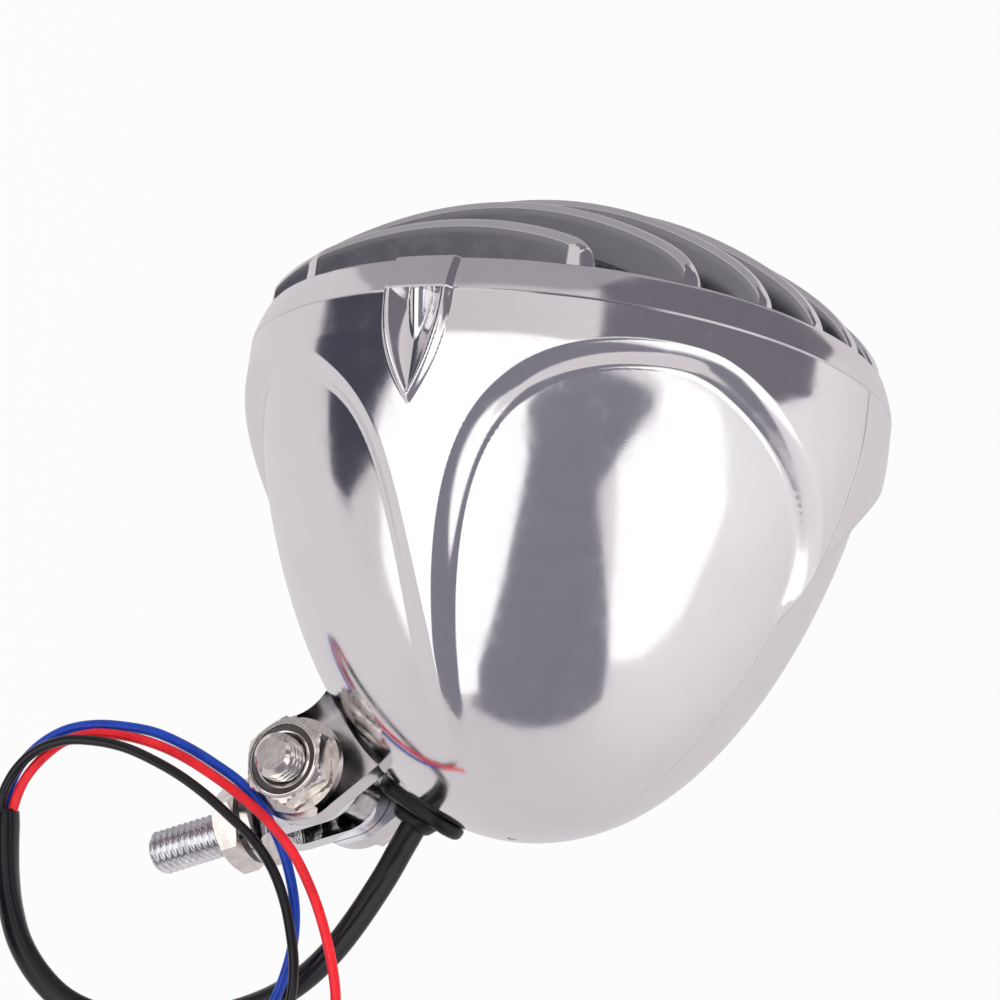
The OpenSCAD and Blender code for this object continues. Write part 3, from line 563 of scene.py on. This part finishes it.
# ---------------------------------------------------------------- the clevis ears
def ear_outline():
    r = 11.6
    pts = []
    back, front = 132, -12
    a = back
    while a <= 360 + front:
        pts.append((r * math.cos(math.radians(a)), r * math.sin(math.radians(a))))
        a += 6
    # concave fillet up to the shell at the front, straight at the back
    for k in range(9):
        t = k / 8
        x0, z0 = pts[len(pts) - 1 - (k if k == 0 else 0)] if k == 0 else (0, 0)
        if k == 0:
            start = (x0, z0)
        cx, cz = 13.4, 3.2
        ex, ez = 21.5, 6.0
        pts.append(((1 - t) ** 2 * start[0] + 2 * t * (1 - t) * cx + t * t * ex,
                    (1 - t) ** 2 * start[1] + 2 * t * (1 - t) * cz + t * t * ez))
    pts += [(21, 14), (3, 21)]
    return pts


def ears():
    outline = ear_outline()
    bm = bmesh.new()
    for side in (1, -1):
        low, high = 9.2, 14.2
        rings = []
        for y in (low * side, high * side):
            rings.append([bm.verts.new(((PIVOT[0] + x) * MM, y * MM, (PIVOT[1] + z) * MM)) for x, z in outline])
        n = len(outline)
        hole = []
        for y in (low * side, high * side):
            hole.append([bm.verts.new(((PIVOT[0] + 5.1 * math.cos(2 * math.pi * k / 40)) * MM, y * MM,
                                       (PIVOT[1] + 5.1 * math.sin(2 * math.pi * k / 40)) * MM)) for k in range(40)])
        for j in range(n):
            bm.faces.new((rings[0][j], rings[0][(j + 1) % n], rings[1][(j + 1) % n], rings[1][j]))
        for j in range(40):
            bm.faces.new((hole[0][(j + 1) % 40], hole[0][j], hole[1][j], hole[1][(j + 1) % 40]))
        for k in (0, 1):
            edges = [bm.edges.get((rings[k][j], rings[k][(j + 1) % n])) for j in range(n)]
            edges += [bm.edges.get((hole[k][j], hole[k][(j + 1) % 40])) for j in range(40)]
            bmesh.ops.triangle_fill(bm, use_beauty=True, use_dissolve=False, edges=edges)
    me = bpy.data.meshes.new("shell_ears")
    bmesh.ops.recalc_face_normals(bm, faces=bm.faces)
    bm.to_mesh(me)
    bm.free()
    me.materials.append(MAT["lug"])
    o = bpy.data.objects.new("shell_ears", me)
    bpy.context.scene.collection.objects.link(o)
    bevel(o, 0.7, 3, 50)
    sharpen(o, 35)
    return place(o, "lamp", "polished_aluminium", "shell")


ears()


# ---------------------------------------------------------------- the grille bezel
def ring_radius(x):
    return SHELL_R - RING_TAPER * np.clip(x / RING_DEPTH, 0, 1) ** 1.5


DOME_EDGE = SHELL_R - RING_TAPER
DOME_OVER = DOME_H - RING_DEPTH
DOME_R = (DOME_EDGE ** 2 + DOME_OVER ** 2) / (2 * DOME_OVER)
DOME_X = DOME_H - DOME_R


def bezel_ring():
    near = math.asin(10.0 / SHELL_R)
    one = np.concatenate([np.linspace(-near, near, 60, endpoint=False), np.linspace(near, math.pi - near, 130, endpoint=False)])
    cols = np.concatenate([one, one + math.pi])
    profile = [(SPIGOT_R, 0.0), (SHELL_R - 0.35, 0.0), (SHELL_R, 0.35)]
    for k in range(1, 13):
        x = 0.35 + (RING_DEPTH - 0.9) * k / 12
        profile.append((float(ring_radius(np.array(x))), x))
    edge = float(ring_radius(np.array(RING_DEPTH)))
    profile += [(edge - 0.28, RING_DEPTH - 0.18), (edge - 0.8, RING_DEPTH), (SLOT_R + 0.35, RING_DEPTH),
                (SLOT_R, RING_DEPTH - 0.35), (SLOT_R, 1.5), (56.5, 1.5), (56.5, -0.3), (60.0, -0.3),
                (60.0, -SPIGOT_LEN), (SPIGOT_R, -SPIGOT_LEN)]
    verts, faces, mats = [], [], []
    m = len(cols)
    for r0, x0 in profile:
        for c in cols:
            side = c if math.cos(c) >= 0 else math.pi - c
            side = (side + math.pi) % (2 * math.pi) - math.pi
            u = abs(SHELL_R * side + BOSS_DROP)
            pad = 0.0
            if r0 > SLOT_R + 0.2 and x0 >= 0:
                t = min(1, max(0, (BOSS_W / 2 + 0.1 - u) / 1.3))
                pad = BOSS_H * (t * t * (3 - 2 * t)) * (1 - x0 / 40)
                if x0 < 0.3:
                    pad = pad if r0 > SPIGOT_R + 0.1 else 0
            verts.append((SEAM_X + x0, (r0 + pad) * math.cos(c), (r0 + pad) * math.sin(c) + AXIS_Z))
    faces = grid_faces(len(profile), m)
    last = (len(profile) - 1) * m
    for j in range(m):
        faces.append((last + j, last + (j + 1) % m, (j + 1) % m, j))
    o = mesh_object("bezel_ring", verts, faces, [MAT["grille"]])
    recalc(o)
    sharpen(o, 32)
    return place(o, "lamp", "polished_aluminium", "grille_bezel")


def fin(index, b):
    """One fin: a swept wall with a rounded front edge, thinner at the front, ends on the ring."""
    top = DOME_X + math.sqrt(DOME_R ** 2 - b * b) + 2.2 * (b / 57.2) ** 2
    slope = 0.45 * math.tan(math.asin(b / DOME_R))
    reach = math.sqrt((DOME_EDGE - 0.15) ** 2 - b * b)
    rows = 72
    verts, faces, mats = [], [], []
    section = 15
    for i in range(rows + 1):
        t = math.sin(math.pi / 2 * (2 * i / rows - 1))
        z = t * reach
        arc = top - FIN_FALL * z * z
        front = RING_DEPTH - 1 + (arc - RING_DEPTH + 1) * math.sqrt(max(0, 1 - abs(t) ** 20))
        back = max(2.2, arc - FIN_DEPTH)
        front = max(front, back + 0.3)
        half = lambda x: FIN_T / 2 + FIN_DRAFT / 2 * (DOME_H - x) / (DOME_H + 2)
        hw = half(front)
        rnd = min(1.5, hw * 0.72)
        ring = []
        ring.append((back, -half(back)))
        ring.append((max(back + 0.1, front - slope * (-hw) - 3.2), -half(front - 3.2)))
        n_arc = 5
        for side in (-1, 1):
            for k in range(n_arc):
                q = k / (n_arc - 1) * math.pi / 2
                if side < 0:
                    yy = -hw + rnd * (1 - math.sin(q))
                    drop = rnd * (1 - math.cos(q))
                    yy, drop = -hw + rnd * (1 - math.cos(q)), rnd * (1 - math.sin(q))
                else:
                    yy, drop = hw - rnd * (1 - math.sin(q)), rnd * (1 - math.cos(q))
                ring.append((max(back + 0.12, front - slope * yy - drop), yy))
        ring.append((max(back + 0.1, front - slope * hw - 3.2), half(front - 3.2)))
        ring.append((back, half(back)))
        for x, y in ring:
            r = math.hypot(b + y, z)
            y_abs = b + y
            if r > DOME_EDGE - 0.12:
                lim = math.sqrt(max(0, (DOME_EDGE - 0.12) ** 2 - y_abs ** 2))
                zz = math.copysign(min(abs(z), lim), z)
            else:
                zz = z
            verts.append((SEAM_X + x, y_abs * math.cos(FIN_TURN) + zz * math.sin(FIN_TURN),
                          AXIS_Z + zz * math.cos(FIN_TURN) - y_abs * math.sin(FIN_TURN)))
    cols = len(verts) // (rows + 1)
    for i in range(rows):
        for j in range(cols):
            a, c = i * cols + j, i * cols + (j + 1) % cols
            faces.append((a, c, c + cols, a + cols))
            # side walls and back take the darker metal, which is painted shade in the slots between the fins; the front
            # edge keeps the grille metal
            mats.append(0 if 2 <= j < cols - 3 else 1)
    faces.append(tuple(range(cols)))
    faces.append(tuple(rows * cols + k for k in reversed(range(cols))))
    mats += [0, 0]
    return verts, faces, mats


def fins():
    verts, faces, mats = [], [], []
    for k in range(9):
        v, f, m = fin(k, (k - 4) * FIN_PITCH)
        base = len(verts)
        verts += v
        faces += [tuple(i + base for i in face) for face in f]
        mats += m
    o = mesh_object("bezel_fins", verts, faces, [MAT["grille"], MAT["fin_side_shade"]], mats)
    recalc(o)
    sharpen(o, 40)
    return place(o, "lamp", "polished_aluminium", "grille_bezel")


bezel_ring()
fins()


# ---------------------------------------------------------------- threads
def thread_rod(name, start, axis, length, radius, pitch, mat, chamfer=1.2, run_in=0.0, turns_sides=48):
    """A threaded rod from start along axis: a helical groove with rounded crests."""
    axis = np.array(axis, float)
    axis /= np.linalg.norm(axis)
    side = np.cross(axis, [0.0, 1.0, 0.0])
    if np.linalg.norm(side) < 0.1:
        side = np.cross(axis, [0.0, 0.0, 1.0])
    side /= np.linalg.norm(side)
    up = np.cross(axis, side)
    steps = int(length / pitch * 9)
    verts = []
    depth = 0.58 * pitch
    for i in range(steps + 1):
        s = length * i / steps
        for k in range(turns_sides):
            a = 2 * math.pi * k / turns_sides
            ph = (s / pitch - k / turns_sides) % 1.0
            tri = abs(2 * ph - 1)
            crest = min(1.0, max(0.0, (tri - 0.12) / 0.66))
            r = radius - depth * (1 - crest) * min(1, max(0, (s - run_in) / 0.8))
            r = min(r, radius - max(0, chamfer - (length - s)))
            verts.append((np.array(start) + axis * s + r * (math.cos(a) * side + math.sin(a) * up)).tolist())
    faces = grid_faces(steps + 1, turns_sides)
    faces.append(tuple(reversed(range(turns_sides))))
    faces.append(tuple(steps * turns_sides + k for k in range(turns_sides)))
    o = mesh_object(name, verts, faces, [mat])
    recalc(o)
    sharpen(o, 33)
    return o


def stud():
    down = (-math.sin(TILT), 0, -math.cos(TILT))
    length = 18.4
    start = (0.0, 0.0, 0.0)
    inside = 14.2
    start = tuple(-c * inside for c in down)
    o = thread_rod("stud_thread", start, down, length + inside, THREAD_R, 1.5, MAT["zinc"])
    return place(o, "mount", "zinc_steel", "mount_stud")


stud()


def bolt():
    head = 14.2 + 1.8
    end = head + 6.8 + 4
    o = thread_rod("bolt_thread", (PIVOT[0], -head - 0.5, PIVOT[1]), (0, 1, 0), end + head + 0.5, 5.0, 1.5,
                   MAT["nickel"], chamfer=1.5, run_in=2 * head - 3)
    place(o, "lamp", "plated_steel", "pivot_bolt")
    # the hexagonal head, both ends chamfered, with a low rim round a shallow dish
    height, af, turn, sides = 6.4, 17.0, math.radians(12), 120
    levels = [(0.0, 0), (0.15, 0), (0.5, 0), (0.9, 0), (height / 2, 0), (height - 0.9, 0), (height - 0.5, 0),
              (height - 0.2, 0), (height, 0.12), (height - 0.15, 1.9), (height - 0.35, 2.5), (height - 0.35, 8.3)]
    verts = []
    for h, inset in levels:
        for j in range(sides):
            a = 2 * math.pi * j / sides
            hexa = af / 2 / math.cos((a + math.pi / 6) % (math.pi / 3) - math.pi / 6)
            near = min(h, height - h) if not inset else 0.0
            r = min(hexa, af / 2 - 0.1 + near * 1.7) - inset
            verts.append((PIVOT[0] + r * math.cos(a + turn), -head - h, PIVOT[1] + r * math.sin(a + turn)))
    faces = grid_faces(len(levels), sides)
    faces.append(tuple(reversed(range(sides))))
    faces.append(tuple((len(levels) - 1) * sides + j for j in range(sides)))
    o = mesh_object("bolt_head", verts, faces, [MAT["nickel"]])
    recalc(o)
    sharpen(o, 28)
    place(o, "lamp", "plated_steel", "pivot_bolt")


def pivot_nut():
    """The nut on the pivot bolt: chamfered hexagon, a ring sunk in its face with its groove painted dark as shade, and
    a lip round the thread with painted shade in the gap inside it.
    """
    foot, height, af, turn, sides = 14.2 + 1.8, 6.8, 17.0, math.radians(22), 120
    body = height - 1.2
    levels = [(0.0, 0), (0.2, 0), (0.6, 0), (1.0, 0), (body / 2, 0), (body - 1.0, 0), (body - 0.6, 0), (body - 0.25, 0),
              (body, 0)]
    rings = [(body, 8.0), (body + 0.3, 7.85), (body + 0.35, 7.65), (body + 0.15, 7.5), (body - 0.1, 7.42),
             (body - 0.15, 6.45), (body + 0.1, 6.3), (body + 0.3, 6.1), (body + 0.2, 5.75), (body - 0.4, 5.6),
             (body - 0.5, 5.05), (0.0, 5.05)]
    verts = []
    for k, (h, r0) in enumerate(levels + rings):
        for j in range(sides):
            a = 2 * math.pi * j / sides
            hexa = af / 2 / math.cos((a + math.pi / 6) % (math.pi / 3) - math.pi / 6)
            r = min(hexa, af / 2 - 0.1 + min(h, body - h) * 1.7) if k < len(levels) else r0
            verts.append((PIVOT[0] + r * math.cos(a + turn), foot + h, PIVOT[1] + r * math.sin(a + turn)))
    n = len(levels) + len(rings)
    faces = grid_faces(n, sides)
    # the groove's wall and floor and the gap inside the lip take the dark steel: painted shade in the recesses
    dark = [len(levels) + i for i in (3, 4, 8, 9)]
    mats = [1 if i in dark else 0 for i in range(n - 1) for _ in range(sides)]
    faces += [((n - 1) * sides + j, (n - 1) * sides + (j + 1) % sides, (j + 1) % sides, j) for j in range(sides)]
    mats += [0] * sides
    o = mesh_object("pivot_nut_form", verts, faces, [MAT["nickel"], MAT["dark"]], mats)
    recalc(o)
    sharpen(o, 24)
    place(o, "lamp", "plated_steel", "pivot_nut")


def oval_ring(l, w, inset, sides=72):
    """Points of a flat oval, drawn in by inset."""
    pts, r = [], w / 2 - inset
    for j in range(sides):
        a = 2 * math.pi * j / sides
        pts.append(((l - w) / 2 * (1 if math.cos(a) >= 0 else -1) + r * math.cos(a), r * math.sin(a)))
    return pts


def grommet():
    """The rubber grommet: a round-edged flange, its groove, the inner lip and a soft collar on the cable."""
    back = SHELL_LEN - 6.2
    h = 0.1
    fall = float(bullet(back - h) - bullet(back + h)) / (2 * h)
    out = np.array([-fall, 0, -1.0])
    out /= np.linalg.norm(out)
    along = np.array([-out[2], 0, out[0]])
    at = np.array([SEAM_X - back, 0, AXIS_Z - float(bullet(back))])
    levels = [(-5.0, 1.6, 19.4, 11.4), (-4.9, 0.8, 19.4, 11.4), (-4.3, 0.1, 19.4, 11.4), (-3.5, 0.0, 19.4, 11.4),
              (-3.2, 0.25, 19.4, 11.4), (-3.15, 0.1, 16.9, 8.9), (-0.85, 0.1, 16.9, 8.9), (-0.8, 0.5, 22, 13),
              (-0.5, 0.12, 22, 13), (0.2, 0.0, 22, 13), (1.0, 0.08, 22, 13), (1.6, 0.4, 22, 13), (2.0, 1.0, 22, 13),
              (2.2, 1.9, 22, 13), (2.25, 3.0, 22, 13), (2.3, 0.9, 13.5, 8.6), (2.9, 0.3, 11.5, 8.2), (4.4, 0.2, 9.6, 7.6),
              (4.9, 0.7, 9.2, 7.4)]
    verts, sides = [], 72
    for z, inset, l, w in levels:
        verts += [(at + along * x + np.array([0, 1.0, 0]) * y + out * z).tolist() for x, y in oval_ring(l, w, inset, sides)]
    faces = grid_faces(len(levels), sides)
    faces.append(tuple(range(sides)))
    faces.append(tuple((len(levels) - 1) * sides + j for j in reversed(range(sides))))
    o = mesh_object("grommet_form", verts, faces, [MAT["rubber"]])
    recalc(o)
    sharpen(o, 50)
    place(o, "lamp", "black_rubber", "wire_grommet")


pivot_nut()
grommet()
bolt()

# ---------------------------------------------------------------- CAD nodes that keep their shape
for node, mat in {
    "bezel_screws": "zinc", "lens": "glass", "lens_gasket": "rubber", "reflector": "mirror",
    "retaining_ring": "sheet", "ring_screws": "zinc", "bulb_glass": "glass", "bulb_base": "sheet",
    "bulb_clip": "zinc", "bulb_boot": "rubber", "bulb_connector": "black", "inner_loom": "black",
    "pivot_washers": "nickel",
    "mount_bracket": "chrome", "stud_nut": "nickel", "stud_lock_washer": "dark", "stud_washer": "nickel",
}.items():
    o = NODES[node]
    for s in o.material_slots:
        s.material = MAT[mat]


# ---------------------------------------------------------------- stage and light
def direction(az, el):
    az, el = math.radians(az), math.radians(el)
    return Vector((math.cos(el) * math.cos(az), math.cos(el) * math.sin(az), math.sin(el)))


def card(name, corners, distance, color, strength):
    """A flat card, seen only in reflections. corners are (azimuth, elevation) as seen from the lamp."""
    centre = Vector((0.06, 0, 0.06))
    dirs = [direction(a, e) for a, e in corners]
    mid = sum(dirs, Vector()).normalized()
    pts = [centre + v * (distance / v.dot(mid)) for v in dirs]
    me = bpy.data.meshes.new(name)
    me.from_pydata([tuple(p) for p in pts], [], [tuple(range(len(pts)))])
    m = bpy.data.materials.new(name)
    m.use_nodes = True
    t = m.node_tree
    t.nodes.clear()
    e = add(t, "ShaderNodeEmission", Color=(*color, 1.0), Strength=strength)
    out = add(t, "ShaderNodeOutputMaterial")
    t.links.new(e.outputs[0], out.inputs["Surface"])
    me.materials.append(m)
    o = bpy.data.objects.new(name, me)
    bpy.context.scene.collection.objects.link(o)
    o.visible_camera = False
    o.visible_shadow = False
    o.visible_diffuse = False
    return o


def tent():
    """The pale cloth round the set, a little darker at the height of the lamp."""
    me = bpy.data.meshes.new("light_tent")
    bm = bmesh.new()
    bmesh.ops.create_uvsphere(bm, u_segments=48, v_segments=24, radius=3.2)
    bm.to_mesh(me)
    bm.free()
    m = bpy.data.materials.new("tent_cloth")
    m.use_nodes = True
    t = m.node_tree
    t.nodes.clear()
    part = add(t, "ShaderNodeSeparateXYZ")
    tc = add(t, "ShaderNodeTexCoord")
    t.links.new(tc.outputs["Generated"], part.inputs[0])
    e = add(t, "ShaderNodeEmission", Strength=1.0)
    t.links.new(ramp(t, part.outputs["Z"], [(0.0, (0.76, 0.73, 0.75)), (0.42, (0.68, 0.65, 0.67)),
                                            (0.7, (0.75, 0.71, 0.73)), (1.0, (0.95, 0.93, 0.95))]), e.inputs["Color"])
    out = add(t, "ShaderNodeOutputMaterial")
    t.links.new(e.outputs[0], out.inputs["Surface"])
    me.materials.append(m)
    o = bpy.data.objects.new("light_tent", me)
    bpy.context.scene.collection.objects.link(o)
    o.visible_camera = False
    o.visible_shadow = False
    o.visible_diffuse = False


def seen_directly(tree):
    """1 for the camera's rays and for what metal and glass show, 0 for the light on the object."""
    path = add(tree, "ShaderNodeLightPath")
    first = add(tree, "ShaderNodeMath", operation="MAXIMUM")
    both = add(tree, "ShaderNodeMath", operation="MAXIMUM")
    tree.links.new(path.outputs["Is Camera Ray"], first.inputs[0])
    tree.links.new(path.outputs["Is Glossy Ray"], first.inputs[1])
    tree.links.new(first.outputs[0], both.inputs[0])
    tree.links.new(path.outputs["Is Transmission Ray"], both.inputs[1])
    return both.outputs[0]


def world():
    w = bpy.data.worlds.new("studio")
    bpy.context.scene.world = w
    w.use_nodes = True
    t = w.node_tree
    t.nodes.clear()
    white = add(t, "ShaderNodeBackground", Color=(1, 1, 1, 1), Strength=1.0)
    room = add(t, "ShaderNodeBackground", Color=(0.74, 0.70, 0.715, 1), Strength=0.95)
    mix = add(t, "ShaderNodeMixShader")
    out = add(t, "ShaderNodeOutputWorld")
    t.links.new(seen_directly(t), mix.inputs["Fac"])
    t.links.new(room.outputs[0], mix.inputs[1])
    t.links.new(white.outputs[0], mix.inputs[2])
    t.links.new(mix.outputs[0], out.inputs["Surface"])


def floor():
    me = bpy.data.meshes.new("floor")
    s, z = 7.0, -0.75
    me.from_pydata([(-s, -s, z), (s, -s, z), (s, s, z), (-s, s, z)], [], [(0, 1, 2, 3)])
    m = bpy.data.materials.new("pale_floor")
    m.use_nodes = True
    t = m.node_tree
    b = t.nodes["Principled BSDF"]
    b.inputs["Base Color"].default_value = (0.80, 0.79, 0.80, 1)
    b.inputs["Roughness"].default_value = 0.8
    white = add(t, "ShaderNodeEmission", Color=(1, 1, 1, 1), Strength=1.0)
    mix = add(t, "ShaderNodeMixShader")
    most = add(t, "ShaderNodeMath", operation="MULTIPLY")
    most.inputs[1].default_value = 0.92
    t.links.new(seen_directly(t), most.inputs[0])
    t.links.new(most.outputs[0], mix.inputs["Fac"])
    t.links.new(b.outputs[0], mix.inputs[1])
    t.links.new(white.outputs[0], mix.inputs[2])
    t.links.new(mix.outputs[0], t.nodes["Material Output"].inputs["Surface"])
    me.materials.append(m)
    o = bpy.data.objects.new("floor", me)
    bpy.context.scene.collection.objects.link(o)
    o.visible_glossy = False            # the tent and its cards are what the metal shows


def area(name, az, el, distance, size, power, color=(1, 1, 1)):
    light = bpy.data.lights.new(name, "AREA")
    light.shape = "RECTANGLE"
    light.size, light.size_y = size
    light.energy = power
    light.color = color
    o = bpy.data.objects.new(name, light)
    bpy.context.scene.collection.objects.link(o)
    at = Vector((0.06, 0, 0.06)) + direction(az, el) * distance
    o.location = at
    o.rotation_euler = (Vector((0.06, 0, 0.06)) - at).to_track_quat("-Z", "Y").to_euler()
    o.visible_glossy = False
    return o


world()
floor()
tent()
# what the polished metal reflects, as (azimuth, elevation) from the lamp
card("card_dark", [(91, 57), (97, 58), (108, 49), (116, 40), (130, 43), (150, 44), (166, 41), (176, 36), (172, 22),
                   (165, 5), (155, -14), (146, -10), (135, -1), (125, 6), (115, 11), (107, 14), (98, 12), (90, 21),
                   (86, 31)], 1.6, (0.235, 0.225, 0.27), 1.0)
card("card_top", [(78, 44), (88, 60), (101, 60), (110, 46), (150, 45), (166, 42), (180, 50), (195, 60), (210, 76),
                  (75, 80)], 1.9, (1.0, 0.99, 1.0), 1.3)
card("card_low", [(79, 38), (79, -24), (92, -34), (108, -45), (126, -48), (142, -38), (152, -20), (150, 0), (120, 20),
                  (100, 30)], 1.8, (1.0, 0.99, 1.0), 1.3)
card("card_front", [(78, 35), (73, 60), (60, 76), (20, 84), (-70, 84), (-62, 62), (-50, 46), (-49, 26), (-20, 22),
                    (10, 20), (35, 21), (60, 30)], 1.7, (0.185, 0.17, 0.20), 1.0)
card("card_grey", [(50, 22), (10, 18), (-48, 20), (-52, -12), (-40, -38), (-10, -44), (30, -46), (54, -43), (52, -10)],
     1.75, (0.41, 0.395, 0.42), 1.0)
card("card_deep", [(66, -26), (76, -29), (92, -37), (104, -46), (110, -56), (118, -64), (112, -72), (80, -71),
                   (44, -66), (46, -58), (57, -42)], 1.5, (0.07, 0.07, 0.095), 1.0)
area("key", 120, 65, 1.6, (1.4, 1.4), 16)
area("fill", 95, -5, 1.7, (1.2, 1.2), 7)
area("front", 20, 35, 1.8, (1.2, 1.2), 8)

view = bpy.context.scene.view_settings
view.view_transform = "Standard"
